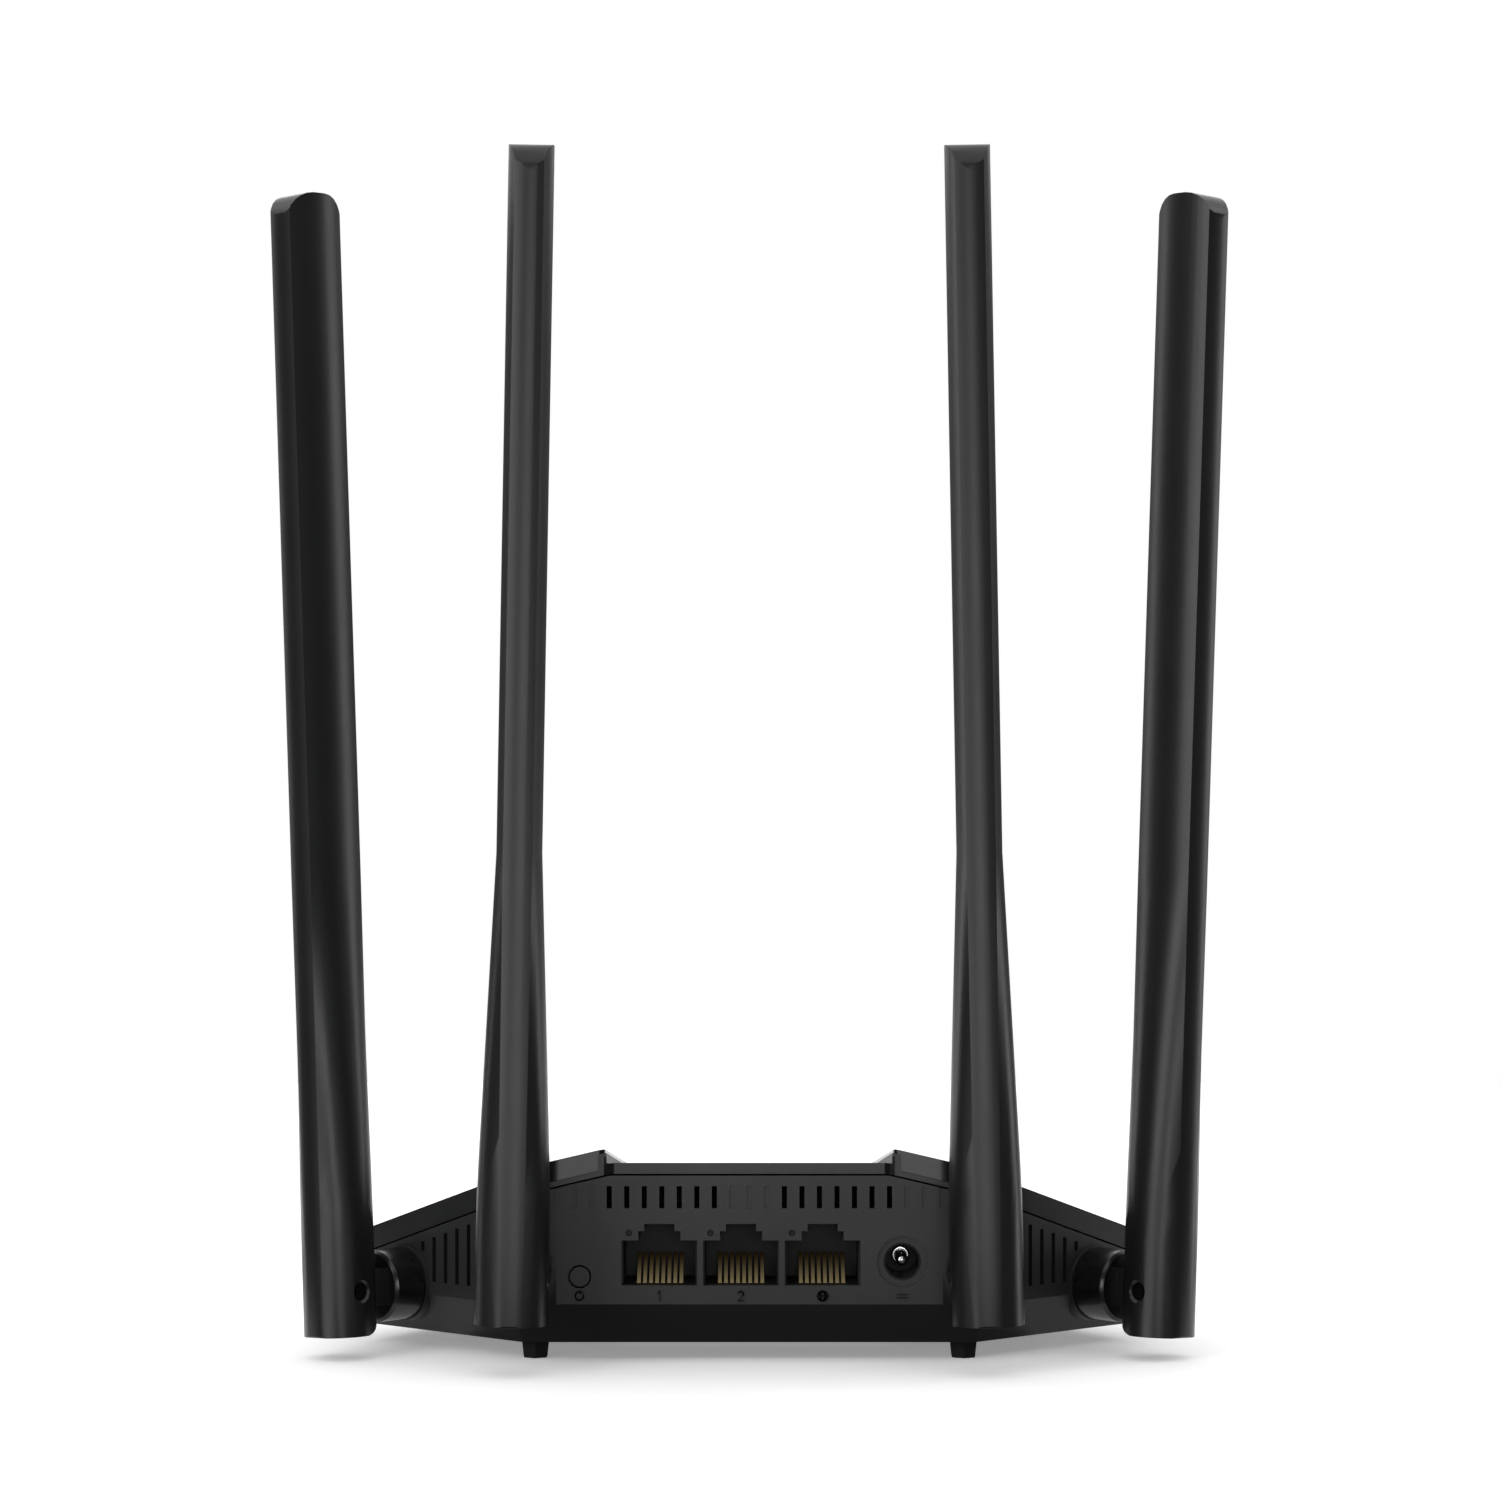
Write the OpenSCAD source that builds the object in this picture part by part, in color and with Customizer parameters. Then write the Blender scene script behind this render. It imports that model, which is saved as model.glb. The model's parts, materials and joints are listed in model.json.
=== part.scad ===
// Desktop wireless router with a faceted case and four folding antennas.
// X runs to the right seen from the port side, Y from the port side to the front edge, Z up.
// The pieces are laid out from the middle of the rear panel, then moved so that the origin
// is on the resting plane, under the middle of the whole object.

/* [Case] */
// Width of the flat rear panel
rear_w = 78.8; // [77:0.2:95]
// Width across the widest corners
wide_w = 144; // [118:1:174]
// Distance of the widest corners from the rear panel
wide_y = 30; // [26:1:36]
// Width across the flank corners
flank_w = 122; // [112:1:132]
// Distance of the flank corners from the rear panel
flank_y = 50; // [46:1:56]
// Width of the front edge
front_w = 52; // [44:1:66]
// Depth from the rear panel to the front edge
body_d = 86; // [78:1:104]
// Thickness of the case walls
wall = 2; // [1.6:0.1:2.4]
// Thickness of the case floor
floor_t = 2; // [1.4:0.1:2.6]
// Height of the rubber feet
foot_h = 3; // [2.4:0.1:4]
// Height of the sloping lower band of the case
chamfer_h = 6.8; // [5.6:0.1:8.2]
// How far the lower band draws in towards the floor
chamfer_in = 3.8; // [2:0.1:5]

/* [Roof] */
// Height of the two wing planes where they would meet above the rear panel
ridge_z = 41.4; // [40:0.1:50]
// Height of the wing planes above the widest corners
wide_edge_z = 17.75; // [17:0.05:20]
// Height of the wing planes above the front corners
front_edge_z = 15.8; // [15.6:0.1:19]
// Height from the wing planes down to the seam under the cover
cover_h = 4.55; // [4:0.05:4.8]
// Thickness of the cover's skin
skin_t = 1.6; // [1.2:0.1:2.2]
// Open height of the seam
seam_gap = 0.3; // [0.2:0.05:0.6]
// Width of the valley at the rear
valley_rear_w = 48; // [40:1:56]
// Width of the valley at the front
valley_front_w = 24; // [18:1:30]
// Height of the valley floor at the rear
valley_z = 33.4; // [32.5:0.1:34.5]
// Height of the valley floor at the front
valley_front_z = 16.2; // [15:0.1:17.5]
// Height of the cover's edge across the end of the valley
band_h = 2; // [1.8:0.1:2.4]

/* [Wing panels] */
// Thickness of the gloss wing panels
panel_t = 1.2; // [0.9:0.1:1.6]
// How far they stand above the cover
panel_proud = 0.75; // [0.4:0.05:0.9]
// Height of their turned down rear edge
panel_lip_h = 3.5; // [2.6:0.1:3.8]
// Margin of bare cover left around them
panel_margin = 2.5; // [1.5:0.1:4]

/* [Vents] */
// Spacing of the slots
vent_pitch = 2.92; // [2.5:0.02:3.4]
// Width of a slot
vent_w = 0.85; // [0.7:0.05:1.1]
// Height of a rear slot
vent_h = 3.7; // [3:0.1:4.4]
// Height of the bottom of the rear slots
vent_z = 25.8; // [25.4:0.1:26.2]
// Depth of the closed slots
vent_blind = 0.3; // [0.2:0.1:0.6]
// Spacing of the side slots
side_pitch = 2.8; // [2.4:0.1:3.2]
// Distance of the first side slot from the rear corner
side_first = 10.7; // [10:0.1:12]
// Height of the bottom of the side slots
side_z = 12; // [11:0.1:14]
// Solid strip left between the side slots and the seam
side_strip = 1.8; // [1.4:0.1:2.4]

/* [Ports] */
// Spacing of the network ports
port_pitch = 13.6; // [13.4:0.05:14.2]
// Place of the first network port across the panel
port_first_x = -15; // [-15.2:0.1:-14.4]
// Width of a port opening
port_w = 12.6; // [12.2:0.1:13]
// Height of its full-width part
port_h = 7.5; // [7:0.1:8]
// Height of its sill above the board
port_sill = 1.35; // [1:0.05:1.8]
// Width and height of its middle step
step_w = 7; // [6:0.1:8]
step_h = 1.55; // [1.2:0.05:1.9]
// Width and height of its latch slot
latch_w = 5; // [4:0.1:5.6]
latch_h = 1.2; // [0.8:0.1:1.6]
// Depth of a jack
jack_d = 17; // [15:0.5:20]
// Depth of its cavity
jack_cavity_d = 12; // [11:0.5:13]
// Diameter of the port lamps
lamp_d = 1.1; // [0.7:0.05:1.2]

/* [Power inlet] */
// Place of the power inlet across the panel
inlet_x = 25.5; // [25.4:0.1:27]
// Height of its centre above the board
inlet_h = 5.3; // [5.2:0.1:6]
// Diameter of the hole
inlet_d = 6.25; // [6:0.05:6.6]
// Diameter of the shallow recess around it
inlet_ring_d = 8.5; // [7.6:0.1:9.4]
// Diameter of the centre pin
inlet_pin_d = 2.1; // [1.9:0.1:2.5]

/* [Reset button] */
// Place of the button across the panel
button_x = -28.3; // [-28.4:0.1:-27.6]
// Height of its centre above the board
button_h = 2.8; // [2.6:0.1:3.4]
// Diameter of the button
button_d = 3.4; // [3:0.1:3.8]
// Gap around the button
button_gap = 0.25; // [0.15:0.05:0.4]

/* [Antennas] */
// Length of an antenna
ant_len = 192.6; // [150:0.2:231.2]
// Width of an antenna, and diameter of its foot
ant_w = 12.2; // [10:0.1:13]
// Thickness of the blade
ant_t = 7.5; // [7:0.1:9]
// Thickness at the corners of the blade
ant_edge = 4.8; // [4:0.1:5]
// Crown of the narrow edge faces between those corners
edge_crown = 0.4; // [0.3:0.1:0.9]
// Height of the pin above the foot
pin_h = 7.5; // [7:0.1:8.5]
// Distance of the pin outwards from the antenna's axis
pin_off = 0.3; // [0:0.1:1.4]
// Diameter of the hinge pin
pin_d = 2.2; // [1.8:0.1:2.6]
// Where the round foot starts to thin, above the foot
taper_low = 20; // [14:1:30]
// Where the blade reaches its thickness, above the foot
taper_high = 77; // [60:1:90]
// Radius of the tip's corners
tip_r = 4.8; // [3:0.1:4.9]
// Lean of the inner antennas towards each other
inner_lean = 1; // [0:0.5:3]
// Lean of the outer antennas away from each other
outer_lean = 2.7; // [0:0.1:6]

/* [Antenna swivels] */
// Height of the inner swivels
inner_z = 15.9; // [15.4:0.1:17]
// Height of the outer swivels
outer_z = 11.3; // [11:0.1:12.4]
// Distance of the outer swivels from the rear corner, along the side
outer_s = 26.6; // [26:0.1:28]
// How far the round bases stand out of the case
base_out = 7.2; // [6.5:0.1:9]
// Diameter of the neck that turns in the case
neck_d = 8; // [7:0.1:8.6]
// Radius of the case's collar around it
collar_r = 6.4; // [6.2:0.1:6.6]

/* [Circuit board] */
// Height of the board's underside above the case floor
board_lift = 5; // [4.6:0.1:5.4]
// Thickness of the board
board_t = 1.6; // [1.2:0.1:2]
// Distance of the board's front edge from the rear panel
board_d = 56; // [52:1:62]

/* [Hidden] */
$fn = 48;
run_gap = 0.05; // radial clearance of a turning fit
slide_gap = 0.1; // clearance each side of a flat that moves
edge_gap = 0.3; // clearance between moving round faces
far = 400; // larger than the whole object

crease_z = foot_h + chamfer_h;
floor_z = foot_h + floor_t;
board_z = floor_z + board_lift;
board_top = board_z + board_t;

// outline of the case, counterclockwise from the rear left corner
half_outline = [[rear_w / 2, 0], [wide_w / 2, wide_y], [flank_w / 2, flank_y], [front_w / 2, body_d]];
outline = concat(half_outline, [for (i = [3:-1:0]) [-half_outline[i].x, half_outline[i].y]]);

// direction of the right side face, away from the rear corner, and the way it faces
side_run = half_outline[1] - half_outline[0];
side_dir = side_run / norm(side_run);
side_yaw = atan2(side_dir.y, side_dir.x);

// fall of the wing planes to the sides and to the front
fall_area = wide_w / 2 * body_d - front_w / 2 * wide_y;
fall_side = ((ridge_z - wide_edge_z) * body_d - (ridge_z - front_edge_z) * wide_y) / fall_area;
fall_front = (wide_w / 2 * (ridge_z - front_edge_z) - front_w / 2 * (ridge_z - wide_edge_z)) / fall_area;
fall_valley = (valley_z - valley_front_z) / body_d;

cam_r = pin_h + 0.1; // reach of the foot's corner about the pin
pin_out = base_out + cam_r + edge_gap;
axis_out = pin_out - pin_off;
mid_y = (body_d - axis_out - ant_w / 2) / 2;

base_r = ant_w / 2;
collar_proud = 0.5;
outer_depth = 4.5; // depth of the outer collars behind the side face
inner_depth = 7; // depth of the inner collars, which reach past the corner
saddle_x = collar_r + 0.15; // half width of the block under a collar
flange_r = neck_d / 2 + 1.4;
flange_t = 1.5;
tongue_t = 5;
tongue_r = 3.2;
slot_r = tongue_r + edge_gap;
cable_r = 1.4;
lead_r = 0.65;

inner_x = rear_w / 2 - 0.6;
outer_at = [rear_w / 2 + side_dir.x * outer_s, side_dir.y * outer_s];
// each antenna: place of its collar, turn, lean, depth of its collar
OUTER_LEFT = [[-outer_at.x, outer_at.y, outer_z], -side_yaw, -outer_lean, outer_depth];
INNER_LEFT = [[-inner_x, 0, inner_z], 0, inner_lean, inner_depth];
INNER_RIGHT = [[inner_x, 0, inner_z], 0, -inner_lean, inner_depth];
OUTER_RIGHT = [[outer_at.x, outer_at.y, outer_z], side_yaw, outer_lean, outer_depth];
SWIVELS = [OUTER_LEFT, INNER_LEFT, INNER_RIGHT, OUTER_RIGHT];

// the wide part of the board stops short of the outer swivels' inner ends
swivel_reach = outer_depth + edge_gap + flange_t;
board_x = outer_at.x - side_dir.y * swivel_reach - side_dir.x * flange_r - 2;
board_strip_x = inner_x - collar_r - 0.6;
board_strip_y = 16;

port_x = [for (i = [0:2]) port_first_x + i * port_pitch];
port_z = board_top + port_sill;
jack_w = port_pitch - 0.2;
jack_h = port_sill + port_h + step_h + latch_h + 1.7;
cavity_w = port_w - 0.6;
contact_pitch = 1.016;
inlet_z = board_top + inlet_h;
inlet_body = 9;
button_z = board_top + button_h;

rear_screw = [wide_w / 2 - 32, 40];
front_screw = [front_w / 2 - 2, body_d - 18];
screw_r = 1;
post_r = 3;
screw_top = 16;
status_y = board_d - 3;

// ---- helpers ----

// moves the layout to the object's own frame
module framed() {
    translate([0, -mid_y, 0]) children();
}

// the corner of an outline moved in by d, from its two edges
function inset_corner(before, here, after, d) =
    let (
        u = (here - before) / norm(here - before),
        v = (after - here) / norm(after - here),
        nu = [-u.y, u.x],
        nv = [-v.y, v.x]
    )
    here + (nu + nv) * d / (1 + nu * nv);

function inset(pts, d) =
    let (n = len(pts))
    [for (i = [0:n - 1]) inset_corner(pts[(i + n - 1) % n], pts[i], pts[(i + 1) % n], d)];

// upright walls on the case outline, moved in by d
module prism(d, low, high) {
    translate([0, 0, low]) linear_extrude(high - low) polygon(inset(outline, d));
}

// sloping band between two insets of the case outline
module sloped_band(d_low, low, d_high, high) {
    n = len(outline);
    a = inset(outline, d_low);
    b = inset(outline, d_high);
    polyhedron(
        points = concat([for (p = a) [p.x, p.y, low]], [for (p = b) [p.x, p.y, high]]),
        faces = concat(
            [[for (i = [0:n - 1]) i]],
            [[for (i = [n - 1:-1:0]) n + i]],
            [for (i = [0:n - 1]) [i, n + i, n + (i + 1) % n, (i + 1) % n]]
        )
    );
}

// everything below the plane z = height - to_x * x - to_y * y
module below(height, to_x, to_y) {
    translate([0, 0, height])
        rotate([-atan(to_y / sqrt(1 + to_x * to_x)), atan(to_x), 0])
            translate([-far, -far, -2 * far]) cube(2 * far);
}

// everything below the two wing planes, set to meet at this height
module below_wings(height) {
    intersection() {
        below(height, fall_side, fall_front);
        below(height, -fall_side, fall_front);
    }
}

// everything below the seam, raised by up
module below_seam(up) {
    intersection() {
        below_wings(ridge_z - cover_h + up);
        below(valley_z - band_h + up, 0, fall_front);
    }
}

// cut that leaves the valley between the wings, widened by grow and sunk by deeper
module valley_cut(grow, deeper) {
    difference() {
        translate([0, 0, crease_z])
            linear_extrude(ridge_z)
                polygon([
                    [-valley_rear_w / 2 - grow, -1],
                    [valley_rear_w / 2 + grow, -1],
                    [valley_front_w / 2 + grow, body_d + 1],
                    [-valley_front_w / 2 - grow, body_d + 1]
                ]);
        below(valley_z - deeper, 0, fall_valley);
    }
}

// extrudes a shape drawn in X and Z along Y
module along_y(y0, y1) {
    translate([0, y1, 0]) rotate([90, 0, 0]) linear_extrude(y1 - y0) children();
}

// places a swivel's parts: origin on the case face, outwards along -Y, up along Z
module at_swivel(s) {
    translate(s[0]) rotate([0, 0, s[1]]) children();
}

// the same, leaned as the antenna stands
module at_leaned(s) {
    at_swivel(s) rotate([0, s[2], 0]) children();
}

// the same, from the pin
module at_pin(s) {
    at_leaned(s) translate([0, -pin_out, 0]) children();
}

// round bar about the swivel axis, from a depth inside the case to a reach outside it
module swivel_bar(inside, outside, r) {
    rotate([90, 0, 0]) translate([0, 0, -inside]) cylinder(h = inside + outside, r = r);
}

// mirrors a piece onto both sides
module both_sides() {
    children();
    mirror([1, 0, 0]) children();
}

// round rod between two points
module rod(a, b, r) {
    run = b - a;
    translate(a)
        rotate([0, acos(run.z / norm(run)), atan2(run.y, run.x)])
            cylinder(h = norm(run), r = r, $fn = 24);
}

// ---- case ----

module case_outer() {
    sloped_band(chamfer_in, foot_h, 0, crease_z);
    prism(0, crease_z - 0.01, ridge_z);
}

// the solid collar around a swivel's neck
module collar(s) {
    at_swivel(s) swivel_bar(s[3], collar_proud, collar_r);
}

// half space below a swivel's axis, where the case halves meet
module below_axis(s) {
    translate([-far, -far, -2 * far + s[0].z]) cube(2 * far);
}

// block under a swivel, from the floor up to its axis
module saddle_block(s, start, depth) {
    at_swivel(s) translate([-saddle_x, start, -s[0].z]) cube([2 * saddle_x, depth - start, s[0].z]);
}

module screw_places() {
    both_sides() {
        translate(rear_screw) children();
        translate(front_screw) children();
    }
}

module bottom_case() {
    slope = chamfer_in / chamfer_h;
    color("#1d1e20") framed() difference() {
        union() {
            difference() {
                sloped_band(chamfer_in, foot_h, 0, crease_z);
                difference() {
                    sloped_band(chamfer_in - slope * floor_t + wall, floor_z, wall, crease_z + 0.001);
                    for (s = SWIVELS) saddle_block(s, -1, s[3]);
                }
            }
            // the blocks above the crease, and the collars' lower halves
            for (s = SWIVELS) {
                intersection() {
                    prism(0, crease_z, s[0].z);
                    saddle_block(s, -1, s[3]);
                }
                intersection() {
                    collar(s);
                    below_axis(s);
                }
            }
            screw_places() translate([0, 0, floor_z - 0.5]) cylinder(h = board_lift + 0.5, r = post_r);
            both_sides() translate([24, 8, floor_z - 0.5]) cylinder(h = board_lift + 0.5, r = 2);
        }
        for (s = SWIVELS) at_swivel(s) swivel_bar(s[3] + 1, 1, neck_d / 2 + run_gap);
        screw_places() {
            translate([0, 0, foot_h - 1]) cylinder(h = 2.4, r = 2.4);
            translate([0, 0, foot_h - 1]) cylinder(h = 20, r = screw_r + 0.3);
        }
        // shallow seat for the label, and air slots through the floor
        translate([-24, 22, foot_h - 1]) cube([48, 26, 1.2]);
        both_sides() {
            for (i = [0:6]) translate([32 + i * 2.6, 52 - i * 2.2, foot_h - 1]) cube([1.2, 12 - i, 10]);
            for (i = [0:4]) translate([4 + i * 3.4, body_d - 22, foot_h - 1]) cube([1.4, 10, 10]);
        }
    }
}

module port_shape(w, clear) {
    translate([-w / 2, 0]) square([w, port_h - clear]);
    translate([-step_w / 2, 0]) square([step_w, port_h + step_h - clear]);
    translate([-latch_w / 2, 0]) square([latch_w, port_h + step_h + latch_h - clear]);
}

module rear_vent(k, low, high) {
    translate([k * vent_pitch - vent_w / 2, low, vent_z]) cube([vent_w, high - low, vent_h]);
}

// height of the seam above a place in the plan
function seam_at(x, y) = ridge_z - cover_h - fall_side * abs(x) - fall_front * y;

module side_vents() {
    for (i = [0:4]) {
        s = side_first + i * side_pitch;
        x = rear_w / 2 + side_dir.x * s;
        y = side_dir.y * s;
        low = i < 4 ? side_z : outer_z + collar_r + 0.2 - 0.9;
        high = seam_at(x, y) - side_strip;
        translate([x, y, 0]) rotate([0, 0, side_yaw])
            translate([-vent_w / 2, -1, low]) cube([vent_w, wall + 2, high - low]);
    }
}

module main_housing() {
    color("#333538") framed() difference() {
        union() {
            difference() {
                intersection() {
                    prism(0, crease_z, ridge_z);
                    below_seam(-seam_gap / 2);
                }
                prism(wall, crease_z - 1, ridge_z + 1);
            }
            for (s = SWIVELS) difference() {
                collar(s);
                below_axis(s);
            }
        }
        for (s = SWIVELS) {
            at_swivel(s) swivel_bar(s[3] + 1, 1, neck_d / 2 + run_gap);
            saddle_block(s, -1, s[3] + 1);
        }
        for (x = port_x) {
            translate([x, 0, port_z]) along_y(-1, wall + 1) port_shape(port_w, 0);
            translate([x - 5.1, -1, port_z + port_h + step_h - 0.3]) rotate([-90, 0, 0])
                cylinder(h = wall + 2, d = lamp_d, $fn = 24);
        }
        for (k = [2:8]) {
            rear_vent(k, -1, wall + 1);
            rear_vent(-k, -1, wall + 1);
        }
        for (k = [-1, 0, 1, 9, 10, 11, -9, -10, -11]) rear_vent(k, -1, vent_blind);
        both_sides() side_vents();
        translate([inlet_x, -1, inlet_z]) rotate([-90, 0, 0]) cylinder(h = wall + 2, d = inlet_d);
        translate([inlet_x, -1, inlet_z]) rotate([-90, 0, 0]) cylinder(h = 1.6, d = inlet_ring_d);
        translate([button_x, -1, button_z]) rotate([-90, 0, 0])
            cylinder(h = wall + 2, d = button_d + 2 * button_gap);
    }
}

// plan of a wing panel, with its rear inner corner rounded
function wing_plan() =
    let (
        r = 1.3,
        m = inset(outline, panel_margin),
        x0 = valley_rear_w / 2,
        x1 = valley_front_w / 2,
        rear_x = rear_w / 2 - panel_margin / side_dir.y,
        front_y = body_d - panel_margin
    )
    concat(
        [for (a = [180:18:270]) [x0 + r + r * cos(a), r + r * sin(a)]],
        [[rear_x, 0], m[1], m[2], m[3], [x0 + (x1 - x0) * front_y / body_d, front_y]]
    );

module wing_panel() {
    lip_t = 1.2;
    difference() {
        intersection() {
            linear_extrude(ridge_z) polygon(wing_plan());
            below_wings(ridge_z);
        }
        below_wings(ridge_z - panel_lip_h);
        intersection() {
            below_wings(ridge_z - panel_t);
            translate([-far, lip_t, 0]) cube(2 * far);
        }
    }
}

module wing_panel_right() {
    color("#0c0c0e") framed() wing_panel();
}

module wing_panel_left() {
    color("#0c0c0e") framed() mirror([1, 0, 0]) wing_panel();
}

// everything that the cover's skin wraps
module cover_inside() {
    difference() {
        intersection() {
            prism(wall, 0, ridge_z);
            below_wings(ridge_z - panel_proud - skin_t);
        }
        valley_cut(skin_t, skin_t);
    }
}

module top_cover() {
    lip_drop = 1;
    lip_in = wall + 0.15;
    color("#26272a") framed() difference() {
        union() {
            difference() {
                intersection() {
                    prism(0, crease_z, ridge_z);
                    below_wings(ridge_z - panel_proud);
                }
                valley_cut(0, 0);
                cover_inside();
                below_seam(seam_gap / 2);
            }
            // lip that locates the cover inside the walls
            difference() {
                intersection() {
                    prism(lip_in, crease_z, ridge_z);
                    below_seam(0.6);
                }
                prism(lip_in + 1, crease_z - 1, ridge_z + 1);
                below_seam(-lip_drop);
            }
            intersection() {
                screw_places() cylinder(h = ridge_z, r = post_r);
                below_wings(ridge_z - panel_proud - skin_t / 2);
            }
        }
        both_sides() wing_panel();
        // small notches where the valley's edge meets the wings
        both_sides() translate([valley_rear_w / 2 - 0.6, 0, valley_z - band_h]) rotate([0, 0, 45])
            translate([-0.6, -0.6, -1]) cube([1.2, 1.2, band_h + 2]);
        // the bosses stand on the board, and at the front on the case's posts
        both_sides() {
            translate([rear_screw.x, rear_screw.y, 0]) translate([-post_r - 1, -post_r - 1, 0])
                cube([2 * post_r + 2, 2 * post_r + 2, board_top]);
            translate([front_screw.x, front_screw.y, 0]) translate([-post_r - 1, -post_r - 1, 0])
                cube([2 * post_r + 2, 2 * post_r + 2, board_z]);
        }
        screw_places() cylinder(h = screw_top + 0.5, r = screw_r);
        for (i = [-2:2]) translate([i * 5, status_y, 0]) cylinder(h = ridge_z, r = 0.9);
    }
}

// rubber foot, an upright six sided taper with an edge towards the rear
module foot(x, y) {
    color("#101010") framed() translate([x, y, 0]) rotate([0, 0, 30])
        cylinder(h = foot_h, r1 = 2.25, r2 = 2.6, $fn = 6);
}

module foot_rear_left() { foot(-rear_w / 2 + 3.4, 8); }
module foot_rear_right() { foot(rear_w / 2 - 3.4, 8); }
module foot_front_left() { foot(-front_w / 2 + 2, body_d - 9); }
module foot_front_right() { foot(front_w / 2 - 2, body_d - 9); }

module case_screws() {
    head_z = foot_h + 0.2;
    color("#8d9095") framed() screw_places() difference() {
        union() {
            translate([0, 0, head_z]) cylinder(h = 1.2, r = 2.1);
            translate([0, 0, head_z]) cylinder(h = screw_top - head_z, r = screw_r);
        }
        for (a = [0, 90]) rotate([0, 0, a]) translate([-1.2, -0.25, head_z - 0.1]) cube([2.4, 0.5, 0.8]);
    }
}

module blank_label() {
    color("#b9bbbd") framed() translate([-23.5, 22.5, foot_h + 0.05]) cube([47, 25, 0.15]);
}

// ---- board and what stands on it ----

module board_shape() {
    translate([-board_strip_x, wall + 0.4]) square([2 * board_strip_x, board_d - wall - 0.4]);
    translate([-board_x, board_strip_y]) square([2 * board_x, board_d - board_strip_y]);
}

module main_board() {
    color("#1f5c38") framed() difference() {
        translate([0, 0, board_z]) linear_extrude(board_t) board_shape();
        both_sides() translate([rear_screw.x, rear_screw.y, 0]) cylinder(h = ridge_z, r = screw_r + 0.4);
    }
}

module on_board(x, y, size) {
    translate([x - size.x / 2, y - size.y / 2, board_top]) cube(size);
}

module router_chip() {
    color("#222222") framed() on_board(0, 40, [14, 14, 1.6]);
}

module heat_spreader() {
    base_t = 1.2;
    color("#9a9da1") framed() translate([0, 0, 1.6]) difference() {
        on_board(0, 40, [22, 22, 4]);
        translate([0, 0, base_t]) for (i = [-4:4]) on_board(i * 2.4, 40, [1, 24, 4]);
    }
}

module memory_chip() {
    color("#1c1c1e") framed() on_board(-18, 37, [8, 12, 1.1]);
}

module flash_chip() {
    color("#1c1c1e") framed() on_board(16.5, 42, [5.2, 6, 1.7]);
}

module radio_shields() {
    color("#b3b6ba") framed() both_sides() difference() {
        on_board(29.5, 48, [14, 12, 2.4]);
        translate([0, 0, -0.3]) on_board(29.5, 48, [13.4, 11.4, 2.4]);
    }
}

module network_transformers() {
    color("#141416") framed() for (x = port_x) on_board(x, wall + jack_d + 5.2, [11, 6.6, 4]);
}

module power_inductor() {
    color("#3a3a3c") framed() translate([30, 21, board_top]) difference() {
        cylinder(h = 3, r = 2.6);
        translate([0, 0, 0.8]) difference() {
            cylinder(h = 1.4, r = 4);
            cylinder(h = 1.4, r = 1.9);
        }
    }
}

module filter_capacitors() {
    color("#4a5a8a") framed() for (p = [[23.5, 24.5], [23.5, 31.5]]) translate([p.x, p.y, board_top]) {
        cylinder(h = 7.5, r = 2.9);
        translate([0, 0, 7.5]) cylinder(h = 0.4, r1 = 2.9, r2 = 2.4);
    }
}

module status_leds() {
    color("#e8f4e8") framed() for (i = [-2:2]) on_board(i * 5, status_y, [1.6, 0.8, 0.6]);
}

module status_light_pipes() {
    color("#dfe7ea") framed() intersection() {
        for (i = [-2:2]) translate([i * 5, status_y, board_top + 0.8]) cylinder(h = ridge_z, r = 0.8);
        below(valley_z, 0, fall_valley);
    }
}

// ---- ports ----

module port_jack(i) {
    color("#17181a") framed() translate([port_x[i], 0, board_top]) difference() {
        translate([-jack_w / 2, wall, 0]) cube([jack_w, jack_d, jack_h]);
        translate([0, 0, port_sill]) along_y(wall - 1, wall + jack_cavity_d) port_shape(cavity_w, 0.3);
        // open grooves that hold the contacts
        for (k = [0:7]) translate([(k - 3.5) * contact_pitch - 0.35, wall + 2, port_sill - 0.5])
            cube([0.7, jack_cavity_d - 2, 1]);
    }
}

module lan_port_1() { port_jack(0); }
module lan_port_2() { port_jack(1); }
module wan_port() { port_jack(2); }

// eight spring contacts, each a flat foot in its groove and a tongue that rises inwards
module port_contacts(i) {
    rise = 27;
    run = 9.4;
    color("#d3a54a") framed() translate([port_x[i], wall + 2.6, port_z - 0.5])
        for (k = [0:7]) translate([(k - 3.5) * contact_pitch - 0.3, 0, 0]) {
            cube([0.6, 1, 0.4]);
            translate([0, 0.6, 0]) rotate([rise, 0, 0]) cube([0.6, run, 0.4]);
        }
}

module lan_port_1_contacts() { port_contacts(0); }
module lan_port_2_contacts() { port_contacts(1); }
module wan_port_contacts() { port_contacts(2); }

module port_lamps() {
    color("#2c3a2c") framed() for (x = port_x)
        translate([x - 5.1, 0.3, port_z + port_h + step_h - 0.3]) rotate([-90, 0, 0])
            cylinder(h = wall - 0.3, d = lamp_d - 0.15, $fn = 24);
}

module power_inlet() {
    color("#141517") framed() difference() {
        union() {
            translate([inlet_x - inlet_body / 2, wall, board_top]) cube([inlet_body, 13.5, inlet_h + 4.6]);
            translate([inlet_x, 0.9, inlet_z]) rotate([-90, 0, 0]) cylinder(h = wall, d = inlet_d - 0.1);
        }
        translate([inlet_x, 0, inlet_z]) rotate([-90, 0, 0]) cylinder(h = wall + 9, d = inlet_d - 0.6);
        translate([inlet_x - 1, wall + 1, inlet_z + inlet_d / 2 - 1]) cube([2, 8, 1.6]);
    }
}

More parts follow.
